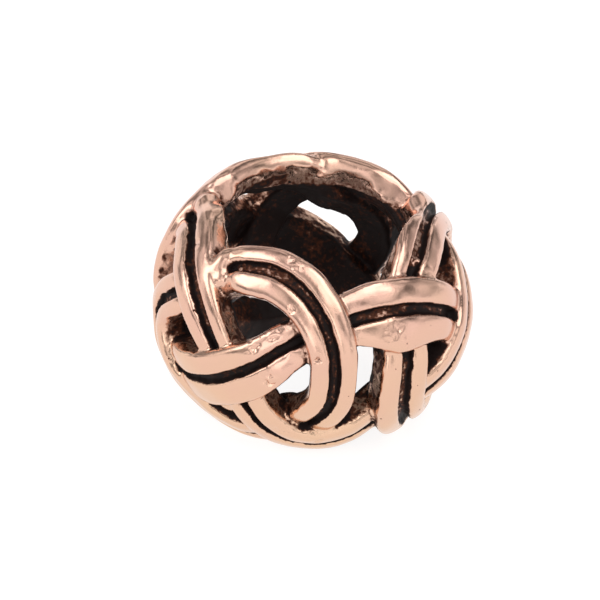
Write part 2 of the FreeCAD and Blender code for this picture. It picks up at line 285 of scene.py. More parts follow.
@dataclass(frozen=True)
class Skin:
    """The oblate spheroid on which every band lies, centred on the origin, in millimetres."""

    radius: float = 7.0
    half_height: float = 6.3

    def weights(self) -> Array:
        """Returns the spheroid's three quadratic weights."""
        return np.array([self.radius ** -2, self.radius ** -2, self.half_height ** -2])

    def points(self, azimuth: Array, latitude: Array) -> Array:
        """Places points on the skin.

        Args:
            azimuth: Degrees from the front toward the right.
            latitude: Degrees above the middle.

        Returns:
            One row of x, y, z for each pair.
        """
        turn, rise = np.radians(azimuth), np.radians(latitude)
        reach = self.radius * np.cos(rise)
        height = self.half_height * np.sin(rise)
        return np.stack([reach * np.sin(turn), -reach * np.cos(turn), height], axis=-1)

    def normals(self, points: Array) -> Array:
        """Finds the way out of the bead at some points.

        Args:
            points: Points near the skin.

        Returns:
            The skin's normal for each.
        """
        return unit(points * self.weights())

    def dropped(self, start: Array, normal: Array) -> Array:
        """Moves points along given directions until they meet the skin.

        Args:
            start: The points.
            normal: A direction for each.

        Returns:
            The points on the skin.
        """
        weight = self.weights()
        a = (weight * normal * normal).sum(-1)
        b = 2 * (weight * normal * start).sum(-1)
        c = (weight * start * start).sum(-1) - 1
        step = (-b + np.sqrt(b * b - 4 * a * c)) / (2 * a)
        return start + normal * step[..., None]


def unit(vectors: Array) -> Array:
    """Scales vectors to length one.

    Args:
        vectors: One in each row.

    Returns:
        The scaled vectors.
    """
    return vectors / np.linalg.norm(vectors, axis=-1, keepdims=True)


@dataclass
class Path:
    """A smooth run through the rows of a closed loop.

    Args:
        rows: The loop's rows in order.
        turn: Azimuth gained in one lap of the loop.
        skin: The spheroid that the loop lies on.
    """

    rows: Sequence[Row]
    turn: float
    skin: Skin
    knots: Array = field(init=False)

    def __post_init__(self) -> None:
        """Measures the distance along the loop at each row."""
        first = self.rows[0]
        table = np.array([*self.rows, first._replace(azimuth=first.azimuth + self.turn)])
        places = self.skin.points(table[:, 0], table[:, 1])
        steps = np.linalg.norm(np.diff(places, axis=0), axis=1)
        self.knots = np.concatenate([[0.0], np.cumsum(steps)])

    @property
    def length(self) -> float:
        """Length of one lap."""
        return float(self.knots[-1])

    def extended(self) -> tuple[Array, Array]:
        """Returns three laps of knots and rows, so that every slope has neighbours."""
        table = np.array(self.rows)
        knots, laps = [], []
        for lap in (-1, 0, 1):
            moved = table.copy()
            moved[:, 0] += self.turn * lap
            laps.append(moved)
            knots.append(self.knots[:-1] + self.length * lap)
        return np.concatenate(knots), np.concatenate(laps)

    def at(self, distance: Array) -> Array:
        """Reads the loop's columns at some distances along it.

        Args:
            distance: Distances in millimetres, within one lap either way.

        Returns:
            One row of columns for each distance.
        """
        knots, table = self.extended()
        step = np.diff(knots)[:, None]
        rate = np.diff(table, axis=0) / step
        slope = (rate[:-1] * step[1:] + rate[1:] * step[:-1]) / (step[:-1] + step[1:])
        inner_knots, inner = knots[1:-1], table[1:-1]
        low = np.clip(np.searchsorted(inner_knots, distance, side="right") - 1, 0, len(inner) - 2)
        span = (inner_knots[low + 1] - inner_knots[low])[:, None]
        part = (distance[:, None] - inner_knots[low][:, None]) / span
        return (
            (2 * part ** 3 - 3 * part ** 2 + 1) * inner[low]
            + (part ** 3 - 2 * part ** 2 + part) * span * slope[low]
            + (3 * part ** 2 - 2 * part ** 3) * inner[low + 1]
            + (part ** 3 - part ** 2) * span * slope[low + 1]
        )


def deselect_all() -> None:
    """Leaves nothing selected and no object in edit mode."""
    if bpy.context.object and bpy.context.object.mode != "OBJECT":
        bpy.ops.object.mode_set(mode="OBJECT")
    bpy.ops.object.select_all(action="DESELECT")


def make_active(piece: Piece) -> None:
    """Selects one object alone and makes it active."""
    deselect_all()
    piece.select_set(True)
    bpy.context.view_layer.objects.active = piece


def select_parts(kind: str, wanted: Callable[..., bool]) -> int:
    """Selects faces, edges or vertices of the mesh in edit mode.

    Args:
        kind: "FACE", "EDGE" or "VERT".
        wanted: Takes one of them and says whether it is wanted.

    Returns:
        How many were selected.
    """
    bpy.ops.mesh.select_mode(type=kind)
    bpy.ops.mesh.select_all(action="DESELECT")
    shape = bmesh.from_edit_mesh(bpy.context.object.data)
    parts = {"FACE": shape.faces, "EDGE": shape.edges, "VERT": shape.verts}[kind]
    chosen = [part for part in parts if wanted(part)]
    for part in chosen:
        part.select = True
    shape.select_flush_mode()
    bmesh.update_edit_mesh(bpy.context.object.data)
    return len(chosen)


def apply_modifier(piece: Piece, kind: str, **settings: object) -> None:
    """Adds a modifier, sets it and applies it.

    Args:
        piece: The object.
        kind: The modifier's type.
        settings: The modifier's properties.
    """
    make_active(piece)
    modifier = piece.modifiers.new(kind.title(), kind)
    for name, value in settings.items():
        setattr(modifier, name, value)
    bpy.ops.object.modifier_apply(modifier=modifier.name)


def places_of(piece: Piece) -> Array:
    """Returns the vertex places of a mesh, one row each."""
    flat = np.empty(len(piece.data.vertices) * 3)
    piece.data.vertices.foreach_get("co", flat)
    return flat.reshape(-1, 3)


def place_all(piece: Piece, places: Array) -> None:
    """Moves every vertex of a mesh to the rows given."""
    piece.data.vertices.foreach_set("co", places.ravel())
    piece.data.update()


def uneven(places: Array, wave: Wave) -> Array:
    """Makes smooth noise.

    Args:
        places: Rows of x, y, z, in millimetres.
        wave: How fast and how much it changes.

    Returns:
        One value for each place, of about plus or minus the wave's depth.
    """
    shifted = places / wave.wavelength + wave.seed
    return wave.depth * np.array([noise.noise(Vector(row)) for row in shifted])


@dataclass
class Bar:
    """One straight double-ridged bar, as long as a band, before it is bent.

    The bar runs along X. Its crown is at z 0, its left ridge on the side of +Y.
    """

    left: float = 0.85
    groove: float = 0.52
    right: float = 0.90
    thickness: float = 1.35
    groove_depth: float = 0.46
    groove_draft: float = 0.06
    lip_round: float = 0.11
    shoulder_round: float = 0.30
    floor_round: float = 0.10
    inner_round: float = 0.22
    lip_steps: int = 3
    shoulder_steps: int = 5
    floor_steps: int = 2
    inner_steps: int = 3
    wide_crown: float = 0.2
    wide_side: float = 0.5
    outer_cuts: int = 4
    inner_cuts: int = 8
    crown_camber: float = 0.05
    crown_middle: float = 0.45
    station: float = 0.15

    def profile_block(self, name: str) -> Piece:
        """Models one station of the bar: a block with its groove, rounded edges and open ends."""
        deselect_all()
        half = self.groove / 2
        far_left = half + self.left
        far_right = -half - self.right
        middle = Vector((self.station / 2, (far_left + far_right) / 2, -self.thickness / 2))
        bpy.ops.mesh.primitive_cube_add(size=1, location=middle)
        block = bpy.context.object
        block.name = name
        block.scale = (self.station, far_left - far_right, self.thickness)
        bpy.ops.object.transform_apply(location=True, rotation=True, scale=True)
        bpy.ops.object.mode_set(mode="EDIT")
        for side in (1, -1):
            bpy.ops.mesh.select_all(action="SELECT")
            bpy.ops.mesh.bisect(plane_co=(0, side * half, 0), plane_no=(0, 1, 0))
        select_parts("FACE", lambda f: f.normal.z > 0.9 and abs(f.calc_center_median().y) < half)
        bpy.ops.mesh.extrude_region_move(TRANSFORM_OT_translate={"value": (0, 0, -self.groove_depth)})
        narrower = 1 - 2 * self.groove_draft / self.groove
        bpy.ops.transform.resize(value=(1, narrower, 1))
        select_parts("FACE", lambda f: abs(f.normal.x) > 0.9)
        bpy.ops.mesh.delete(type="FACE")
        self.round_edges(
            lambda y, z: abs(z) < SAME and abs(abs(y) - half) < SAME, self.lip_round, self.lip_steps
        )
        self.round_edges(
            lambda y, z: abs(z) < SAME and not far_right + SAME <= y <= far_left - SAME,
            self.shoulder_round, self.shoulder_steps,
        )
        self.round_edges(
            lambda y, z: abs(z + self.groove_depth) < SAME and abs(y) < half,
            self.floor_round, self.floor_steps,
        )
        self.round_edges(lambda y, z: z < SAME - self.thickness, self.inner_round, self.inner_steps)
        base = SAME - self.thickness
        self.cut_across(lambda z, wide, high: min(z) > -SAME and wide > self.wide_crown, self.outer_cuts)
        self.cut_across(lambda z, wide, high: high > self.wide_side, self.outer_cuts)
        self.cut_across(lambda z, wide, high: max(z) < base and wide > self.wide_side, self.inner_cuts)
        bpy.ops.object.mode_set(mode="OBJECT")
        return block

    def round_edges(self, wanted: Callable[[float, float], bool], width: float, steps: int) -> None:
        """Bevels the lengthwise edges at some places of the section.

        Args:
            wanted: Takes an edge's y and z and says whether it is one of them.
            width: The bevel's width.
            steps: The bevel's segments.
        """
        def lengthwise(edge: bmesh.types.BMEdge) -> bool:
            """Says whether an edge runs along X at a wanted place."""
            first, second = (corner.co for corner in edge.verts)
            along = abs(first.x - second.x) > self.station / 2
            return along and wanted(first.y, first.z)

        select_parts("EDGE", lengthwise)
        bpy.ops.mesh.bevel(offset=width, segments=steps, affect="EDGES")

    def cut_across(self, wanted: Callable[..., bool], cuts: int) -> None:
        """Divides the wide faces of the section into narrower strips.

        Args:
            wanted: Takes the two ends' z and the edge's width and height, and says whether to
                divide it.
            cuts: New edges in each.
        """
        def crosswise(edge: bmesh.types.BMEdge) -> bool:
            """Says whether an edge lies in the section and is wanted."""
            first, second = (corner.co for corner in edge.verts)
            across, wide, high = (abs(step) for step in first - second)
            return across < SAME and wanted((first.z, second.z), wide, high)

        if select_parts("EDGE", crosswise):
            bpy.ops.mesh.subdivide(number_cuts=cuts)

    def straight(self, name: str, length: float, closed: bool) -> tuple[Piece, int]:
        """Models the whole bar by repeating its block.

        Args:
            name: The object's name.
            length: Wanted length.
            closed: Whether its ends will meet; if not they are capped.

        Returns:
            The bar and its number of stations.
        """
        count = round(length / self.station)
        bar = self.profile_block(name)
        apply_modifier(
            bar, "ARRAY", count=count, use_merge_vertices=True, merge_threshold=1e-4
        )
        if not closed:
            bpy.ops.object.mode_set(mode="EDIT")
            near = self.station / 4
            for end in (0.0, count * self.station):
                select_parts("EDGE", lambda e: all(abs(v.co.x - end) < near for v in e.verts))
                bpy.ops.mesh.edge_face_add()
            bpy.ops.object.mode_set(mode="OBJECT")
        return bar, count


@dataclass
class Band:
    """A bar laid along a path on the skin.

    Args:
        name: The object's name.
        path: The loop that it follows.
        bar: The bar's sizes.
        start: Distance along the path where it begins.
        length: Its length, or None for a whole closed loop.
    """

    name: str
    path: Path
    bar: Bar
    start: float = 0.0
    length: Optional[float] = None
    overlap: float = 0.40
    taper: float = 0.12
    taper_run: float = 0.90
    edge_wave: Wave = Wave(1.9, 3.7, 0.045)
    crown_wave: Wave = Wave(1.6, 11.3, 0.035)
    slope_step: float = 0.02
    inner_below: float = 1.0
    crown_above: float = 0.05

    def build(self) -> Piece:
        """Models the bar and bends it along the path. Returns the finished band."""
        closed = self.length is None
        begin = self.start if closed else self.start - self.overlap
        length = self.path.length if closed else self.length + 2 * self.overlap
        piece, count = self.bar.straight(self.name, length, closed)
        local = places_of(piece)
        along = local[:, 0] / (count * self.bar.station) * length
        place_all(piece, self.laid(local, along, begin, length, closed))
        make_active(piece)
        bpy.ops.object.mode_set(mode="EDIT")
        bpy.ops.mesh.select_all(action="SELECT")
        bpy.ops.mesh.remove_doubles(threshold=1e-4)
        bpy.ops.mesh.normals_make_consistent(inside=False)
        bpy.ops.object.mode_set(mode="OBJECT")
        LOG.info("%s: %d faces", self.name, len(piece.data.polygons))
        return piece

    def laid(self, local: Array, along: Array, begin: float, length: float, closed: bool) -> Array:
        """Works out where each vertex of the straight bar goes.

        Args:
            local: The bar's vertices.
            along: Each vertex's distance from the bar's start.
            begin: The start's distance along the path.
            length: The bar's length along the path.
            closed: Whether the two ends meet.

        Returns:
            The bent vertices.
        """
        skin = self.path.skin
        if closed:
            along = np.where(along > length - SAME, 0.0, along)
        distance = begin + along
        rows = self.path.at(distance)
        centre = skin.points(rows[:, 0], rows[:, 1])
        ahead = self.path.at(distance + self.slope_step)
        behind = self.path.at(distance - self.slope_step)
        forward = skin.points(ahead[:, 0], ahead[:, 1]) - skin.points(behind[:, 0], behind[:, 1])
        normal = skin.normals(centre)
        side = unit(np.cross(normal, forward))
        shrink = np.zeros(len(local))
        if not closed:
            inset = np.minimum(along, length - along)
            shrink = self.taper * np.clip(1 - inset / self.taper_run, 0, None)
        across = self.spread(local[:, 1], rows, shrink)
        start = centre + side * across[:, None]
        base = skin.dropped(start, normal)
        outward = skin.normals(base)
        outward = (
            side * (outward * side).sum(-1, keepdims=True)
            + normal * (outward * normal).sum(-1, keepdims=True)
        )
        outward = unit(outward)
        wander = uneven(base, self.edge_wave)
        base = base + side * (wander * np.clip(np.abs(across) * 2, 0, 1))[:, None]
        lift = rows[:, 2] + uneven(base, self.crown_wave)
        up = local[:, 2] + np.where(local[:, 2] < -self.inner_below, shrink, -shrink)
        up -= self.camber(local[:, 1], local[:, 2])
        return base + outward * (lift + up)[:, None]

    def spread(self, y: Array, rows: Array, shrink: Array) -> Array:
        """Widens or narrows the bar's ridges and groove to those of the rows.

        Args:
            y: Each vertex's place across the bar.
            rows: The path's columns at each vertex.
            shrink: How much narrower each ridge is there.

        Returns:
            The new places across.
        """
        half = self.bar.groove / 2
        inner = np.clip(y, -half, half) * rows[:, 4] / self.bar.groove
        left = np.clip(y - half, 0, None) * (rows[:, 3] - shrink) / self.bar.left
        right = np.clip(-half - y, 0, None) * (rows[:, 5] - shrink) / self.bar.right
        return inner + left - right

    def camber(self, y: Array, z: Array) -> Array:
        """Rounds the crown of each ridge.

        Args:
            y: Each vertex's place across the bar.
            z: Its height.

        Returns:
            How far the crown falls away there.
        """
        half, middle = self.bar.groove / 2, self.bar.crown_middle
        left = np.abs((y - half) / self.bar.left - middle) / (1 - middle)
        right = np.abs((-half - y) / self.bar.right - middle) / (1 - middle)
        fall = np.where(y > 0, left, right) ** 2
        return np.where(z > -self.crown_above, self.bar.crown_camber * np.clip(fall, 0, 1), 0.0)


def smooth(piece: Piece, chosen: Array, passes: int) -> None:
    """Smooths some vertices of a mesh.

    Args:
        piece: The object.
        chosen: For each vertex, whether it is smoothed.
        passes: How often each is drawn toward its neighbours.
    """
    make_active(piece)
    bpy.ops.object.mode_set(mode="EDIT")
    select_parts("VERT", lambda corner: bool(chosen[corner.index]))
    bpy.ops.mesh.vertices_smooth(factor=0.5, repeat=passes)
    bpy.ops.object.mode_set(mode="OBJECT")


def vertex_normals(piece: Piece) -> Array:
    """Returns the vertex normals of a mesh, one row each."""
    flat = np.empty(len(piece.data.vertices) * 3, dtype=np.float32)
    piece.data.vertex_normals.foreach_get("vector", flat)
    return flat.reshape(-1, 3).astype(float)


def fade(values: Array, start: float, end: float) -> Array:
    """Returns a smooth step of the values, from 0 at start to 1 at end."""
    part = np.clip((values - start) / (end - start), 0, 1)
    return part * part * (3 - 2 * part)


def sky_directions(count: int) -> list[Vector]:
    """Spreads directions evenly, by area seen, over the half sphere round +Z."""
    golden = math.pi * (3 - math.sqrt(5))
    ways = []
    for index in range(count):
        reach = math.sqrt((index + 0.5) / count)
        turn = golden * index
        rise = math.sqrt(1 - reach * reach)
        ways.append(Vector((reach * math.cos(turn), reach * math.sin(turn), rise)))
    return ways


@dataclass(frozen=True)
class FarRim:
    """The upper rim at the back, worn round into the hole, in millimetres and degrees.

    Its round runs along a ring at the given reach and height, tilted up to the left. Each pair
    is where a blend begins and where it is whole.
    """

    radius: float = 0.80
    reach: float = 4.75
    height: float = 3.98
    tilt: float = 0.20
    off_back: Pair = (105, 75)
    outer_turn: Pair = (75, 100)
    inner_turn: Pair = (184, 178)
    depth: Pair = (1.9, 1.6)
    core: float = 0.3
    smoothed_share: float = 0.4
    passes: int = 24
    corner_off_back: float = 110
    corner_width: float = 0.3
    corner_height: float = 3.8
    corner_passes: int = 16

    def wear(self, casting: Piece, bore_radius: float) -> None:
        """Rounds the rim over, and smooths it and the corner of the hole beside it.

        Args:
            casting: The casting, round its own middle.
            bore_radius: The hair hole's radius.
        """
        places = places_of(casting)
        reach = np.hypot(places[:, 0], places[:, 1])
        off_back = np.degrees(np.abs(np.arctan2(places[:, 0], places[:, 1])))
        level = self.height - self.tilt * places[:, 0] / reach
        out, rise = reach - self.reach, places[:, 2] - level
        far = np.hypot(out, rise)
        turn = np.degrees(np.arctan2(rise, out))
        weight = fade(off_back, *self.off_back) * fade(turn, *self.outer_turn)
        weight *= fade(far, *self.depth) * fade(turn, *self.inner_turn) * (far > self.core)
        pull = 1 + weight * (self.radius / np.maximum(far, self.radius) - 1)
        places[:, :2] *= ((self.reach + out * pull) / reach)[:, None]
        places[:, 2] = level + rise * pull
        place_all(casting, places)
        smooth(casting, weight > self.smoothed_share, self.passes)
        corner = (off_back < self.corner_off_back) & (reach < bore_radius + self.corner_width)
        smooth(casting, corner & (places[:, 2] > self.corner_height), self.corner_passes)
        LOG.info("far rim: %d vertices rounded", int((weight > self.smoothed_share).sum()))


@dataclass(frozen=True)
class Patina:
    """The oxide that tumbling leaves, deepest where the surface is hidden or faces inward."""

    rays: int = 20
    ray_length: float = 1.3
    ray_start: float = 0.02
    hidden_from: float = 0.08
    hidden_gain: float = 2.1
    inward_from: float = 0.26
    inward_run: float = 0.45
    inward_depth: float = 0.72
    mottling: Wave = Wave(1.3, 6.6, 0.16)

    def store(self, casting: Piece, facing: Array) -> None:
        """Stores how deep the oxide lies at each vertex, for the material to read.

        Args:
            casting: The casting, in millimetres.
            facing: How far each vertex faces out of the bead.
        """
        places = places_of(casting)
        inward = np.clip((self.inward_from - facing) / self.inward_run, 0, 1)
        hidden = self.hidden_share(casting, places)
        depth = np.clip((hidden - self.hidden_from) * self.hidden_gain, 0, 1)
        depth = np.maximum(depth, (self.inward_depth + uneven(places, self.mottling)) * inward)
        layer = casting.data.attributes.new("patina", "FLOAT", "POINT")
        layer.data.foreach_set("value", depth.astype(np.float32))
        LOG.info("patina: %d vertices", len(depth))

    def hidden_share(self, casting: Piece, places: Array) -> Array:
        """Finds how much of the sky over each vertex is blocked nearby.

        Args:
            casting: The casting.
            places: Its vertices.

        Returns:
            From 0, open, to 1, covered.
        """
        faces = [tuple(face.vertices) for face in casting.data.polygons]
        tree = BVHTree.FromPolygons(places.tolist(), faces)
        ways = sky_directions(self.rays)
        blocked = np.zeros(len(places))
        for index, (place, normal) in enumerate(zip(places, vertex_normals(casting))):
            start = Vector(place + normal * self.ray_start)
            turn = Vector(normal).to_track_quat("Z", "X")
            hits = sum(1 for way in ways if tree.ray_cast(start, turn @ way, self.ray_length)[0])
            blocked[index] = hits / len(ways)
        return blocked


@dataclass
class KnotBead:
    """The bead: three rings and one band round them, joined into a single casting."""

    skin: Skin = Skin()
    rim: FarRim = FarRim()
    patina: Patina = Patina()
    bore_radius: float = 4.0
    bore_length: float = 20.0
    bore_facets: int = 128
    foot_height: float = 4.78
    voxel: float = 0.085
    triangles: int = 190000
    rim_from: Pair = (3.4, 3.9)
    polished_from: float = 0.2
    polished_run: float = 0.4
    crease: float = 50.0

    def bands(self) -> list[Band]:
        """Lists the bars that the bead is joined from."""
        rings = {"ring_front": RING_FRONT, "ring_right": RING_RIGHT, "ring_back": RING_BACK}
        made = [Band(name, Path(rows, 0.0, self.skin), Bar()) for name, rows in rings.items()]
        wave = Path(BAND_FIRST_LAP + BAND_SECOND_LAP, 720.0, self.skin)
        half_way = float(wave.knots[len(BAND_FIRST_LAP)])
        made.append(Band("band_first_lap", wave, Bar(), 0.0, half_way))
        made.append(Band("band_second_lap", wave, Bar(), half_way, wave.length - half_way))
        return made

    def build(self) -> Piece:
        """Models the casting.

        Returns:
            Its object, finished, in metres and on its foot.
        """
        pieces = [band.build() for band in self.bands()]
        casting = pieces[0]
        for other in pieces[1:]:
            self.combine(casting, other, Change.JOINED)
        for web in WEBS:
            self.combine(casting, self.web(web), Change.JOINED)
        self.combine(casting, self.bore(), Change.CUT_AWAY)
        apply_modifier(casting, "REMESH", mode="VOXEL", voxel_size=self.voxel, adaptivity=0.0)
        self.rim.wear(casting, self.bore_radius)
        for joint in JOINTS:
            reach = np.linalg.norm(places_of(casting) - self.spot(joint)[0], axis=1)
            smooth(casting, reach < joint.radius, joint.passes)
        self.roughen(casting)
        share = self.triangles / (2 * len(casting.data.polygons))
        apply_modifier(casting, "DECIMATE", decimate_type="COLLAPSE", ratio=share)
        casting = self.without_bubbles(casting)
        self.trim_foot(casting)
        self.patina.store(casting, self.facing_out(places_of(casting), vertex_normals(casting)))
        self.settle(casting)
        casting.name = casting.data.name = "bead_casting"
        make_active(casting)
        bpy.ops.object.shade_smooth_by_angle(angle=math.radians(self.crease))
        casting.data.materials.clear()
        casting.data.materials.append(CastBronze().material())
        LOG.info("casting: %d faces", len(casting.data.polygons))
        return casting

    def combine(self, casting: Piece, other: Piece, how: Change) -> None:
        """Changes the casting by another piece.

        Args:
            casting: The object that is changed.
            other: The object that is used up.
            how: Whether it is joined or cut away.
        """
        apply_modifier(casting, "BOOLEAN", object=other, operation=how.value, solver="MANIFOLD")
        bpy.data.objects.remove(other)

    def bore(self) -> Piece:
        """Models the core that leaves the hair hole."""
        deselect_all()
        bpy.ops.mesh.primitive_cylinder_add(
            vertices=self.bore_facets, radius=self.bore_radius, depth=self.bore_length
        )
        return bpy.context.object

    def web(self, web: Web) -> Piece:
        """Models one web as a flattened ball that lies along the skin.

        Args:
            web: Its place and half sizes.

        Returns:
            The ball.
        """
        place, up = self.spot(web)
        deselect_all()
        bpy.ops.mesh.primitive_uv_sphere_add(segments=24, ring_count=16, radius=1)
        ball = bpy.context.object
        outward = Vector(up)
        round_way = Vector((0, 0, 1)).cross(outward).normalized()
        upward = outward.cross(round_way)
        frame_of_skin = Matrix((round_way, upward, outward)).transposed().to_4x4()
        sizes = Matrix.Diagonal((web.half_width, web.half_height, web.half_thickness, 1))
        centre = Matrix.Translation(Vector(place + up * web.depth))
        ball.matrix_world = centre @ frame_of_skin @ sizes
        bpy.ops.object.transform_apply(location=True, rotation=True, scale=True)
        return ball

    def spot(self, mark: NamedTuple) -> tuple[Array, Array]:
        """Returns the place of a mark on the skin and the direction out of the bead there."""
        place = self.skin.points(np.array(mark.azimuth), np.array(mark.latitude))
        return place, self.skin.normals(place)

    def facing_out(self, places: Array, normals: Array) -> Array:
        """Finds how far each vertex faces out of the bead, or up on the upper rim.

        Args:
            places: The vertices.
            normals: Their normals.

        Returns:
            1 for a vertex that faces straight out, -1 for one that faces the middle.
        """
        facing = (normals * self.skin.normals(places)).sum(-1)
        on_rim = fade(places[:, 2], *self.rim_from)
        return np.where(on_rim > 0, np.maximum(facing, normals[:, 2] * on_rim), facing)

    def roughen(self, casting: Piece) -> None:
        """Gives the casting its lumps, nodules and pits, and its rough inner walls."""
        places = places_of(casting)
        normals = vertex_normals(casting)
        facing = self.facing_out(places, normals)
        polished = np.clip((facing - self.polished_from) / self.polished_run, 0, 1)
        lumps = sum(uneven(places, wave) for wave in LUMPS)
        coarse = sum(uneven(places, wave) for wave in COARSE)
        shift = normals * (polished * lumps + (1 - polished) * coarse)[:, None]
        for drop in NODULES:
            spot, up = self.spot(drop)
            reach = np.linalg.norm(places - (spot + up * drop.depth), axis=1)
            shift += up * (drop.height * np.exp(-((reach / drop.radius) ** 2)))[:, None]
        pores = np.clip(uneven(places, PORES) + 0.1, 0, 1)
        for patch in PITTED:
            spot, up = self.spot(patch)
            reach = np.linalg.norm(places - spot, axis=1)
            shift -= up * (patch.depth * pores * fade(reach, patch.radius, patch.radius / 3))[:, None]
        place_all(casting, places + shift)

    def without_bubbles(self, casting: Piece) -> Piece:
        """Fills the tiny bubbles that are shut in under the crossings.

        Args:
            casting: The casting.

        Returns:
            The casting as its one outer shell.
        """
        before = set(bpy.data.objects)
        make_active(casting)
        bpy.ops.mesh.separate(type="LOOSE")
        shells = [casting, *(set(bpy.data.objects) - before)]
        shells.sort(key=lambda shell: len(shell.data.polygons))
        for bubble in shells[:-1]:
            bpy.data.objects.remove(bubble)
        return shells[-1]

    def trim_foot(self, casting: Piece) -> None:
        """Files the lower rim level, so that the bead stands."""
        make_active(casting)
        bpy.ops.object.mode_set(mode="EDIT")
        bpy.ops.mesh.select_all(action="SELECT")
        bpy.ops.mesh.bisect(
            plane_co=(0, 0, -self.foot_height), plane_no=(0, 0, 1), use_fill=True, clear_inner=True
        )
        bpy.ops.object.mode_set(mode="OBJECT")

    def settle(self, casting: Piece) -> None:
        """Brings the casting to metres and sets it on its foot, inside the frame's box."""
        places = places_of(casting)
        places[:, 2] += self.foot_height
        low, high = (np.array(corner) for corner in CAD_BOX)
        place_all(casting, np.clip(places * MM, low, high))


def linear(code: str) -> tuple[float, float, float, float]:
    """Turns a colour as it looks, in sRGB hex, to the linear values that a shader takes."""
    parts = [int(code[place:place + 2], 16) / 255 for place in (1, 3, 5)]
    values = [p / 12.92 if p <= 0.04045 else ((p + 0.055) / 1.055) ** 2.4 for p in parts]
    return (*values, 1.0)


def add_node(tree: bpy.types.NodeTree, kind: str, links: Optional[dict] = None, **settings: object
) -> bpy.types.Node:
    """Adds a node, sets it and links its inputs.

    Args:
        tree: The node tree.
        kind: The node's type.
        links: For each input, by name or number, an output socket or a plain value.
        settings: The node's own properties.

    Returns:
        The node.
    """
    node = tree.nodes.new("ShaderNode" + kind)
    for name, value in settings.items():
        setattr(node, name, value)
    for key, value in (links or {}).items():
        if isinstance(value, Socket):
            tree.links.new(value, node.inputs[key])
        else:
            node.inputs[key].default_value = value
    return node


@dataclass(frozen=True)
class Recipe:
    """The nodes of one new material, or of the world, as they are being put together."""

    owner: bpy.types.ID
    place: Socket

    @classmethod
    def begin(cls, owner: bpy.types.ID, coordinates: str) -> "Recipe":
        """Empties a material's or a world's nodes.

        Args:
            owner: The material or the world.
            coordinates: Which texture coordinates its patterns follow.

        Returns:
            The recipe.
        """
        owner.use_nodes = True
        owner.node_tree.nodes.clear()
        return cls(owner, add_node(owner.node_tree, "TexCoord").outputs[coordinates])

    @property
    def tree(self) -> bpy.types.NodeTree:
        """The node tree."""
        return self.owner.node_tree

    def noise(self, scale: float, detail: float, rough: float = 0.5) -> Socket:
        """Adds smooth noise of a texture scale. Returns its value."""
        links = {"Vector": self.place, "Scale": scale, "Detail": detail, "Roughness": rough}
        return add_node(self.tree, "TexNoise", links).outputs["Fac"]

    def mapped(
        self, value: Socket, start: Pair, end: Pair,
        interpolation: str = "LINEAR",
    ) -> Socket:
        """Adds a map of one span of a value to another.

        Args:
            value: The value.
            start: The span that is read.
            end: What its two ends become.
            interpolation: How the way between them runs.

        Returns:
            The mapped value.
        """
        links = {
            "Value": value, "From Min": start[0], "From Max": start[1],
            "To Min": end[0], "To Max": end[1],
        }
        made = add_node(self.tree, "MapRange", links, interpolation_type=interpolation)
        return made.outputs["Result"]

    def total(self, first: Socket, second: Socket, clamp: bool) -> Socket:
        """Adds the sum of two values, kept between 0 and 1 if clamped."""
        links = {0: first, 1: second}
        return add_node(self.tree, "Math", links, operation="ADD", use_clamp=clamp).outputs[0]

    def mixed(self, share: Socket, first: object, second: object) -> Socket:
        """Adds a mix of two colours, whose sockets are numbers 6 and 7."""
        links = {"Factor": share, 6: first, 7: second}
        return add_node(self.tree, "Mix", links, data_type="RGBA").outputs[2]

    def bumped(self, height: Socket, strength: float, depth: float) -> Socket:
        """Adds a relief of a depth in metres. Returns its normal."""
        links = {"Height": height, "Strength": strength, "Distance": depth}
        return add_node(self.tree, "Bump", links).outputs["Normal"]

    def finish(self, links: dict) -> bpy.types.Material:
        """Adds the surface shader and the output.

        Args:
            links: The shader's inputs.

        Returns:
            The material.
        """
        shader = add_node(self.tree, "BsdfPrincipled", links)
        add_node(self.tree, "OutputMaterial", {"Surface": shader.outputs["BSDF"]})
        return self.owner


def per_mm(size: float) -> float:
    """Returns the texture scale whose features are some millimetres wide."""
    return 1 / (size * MM)


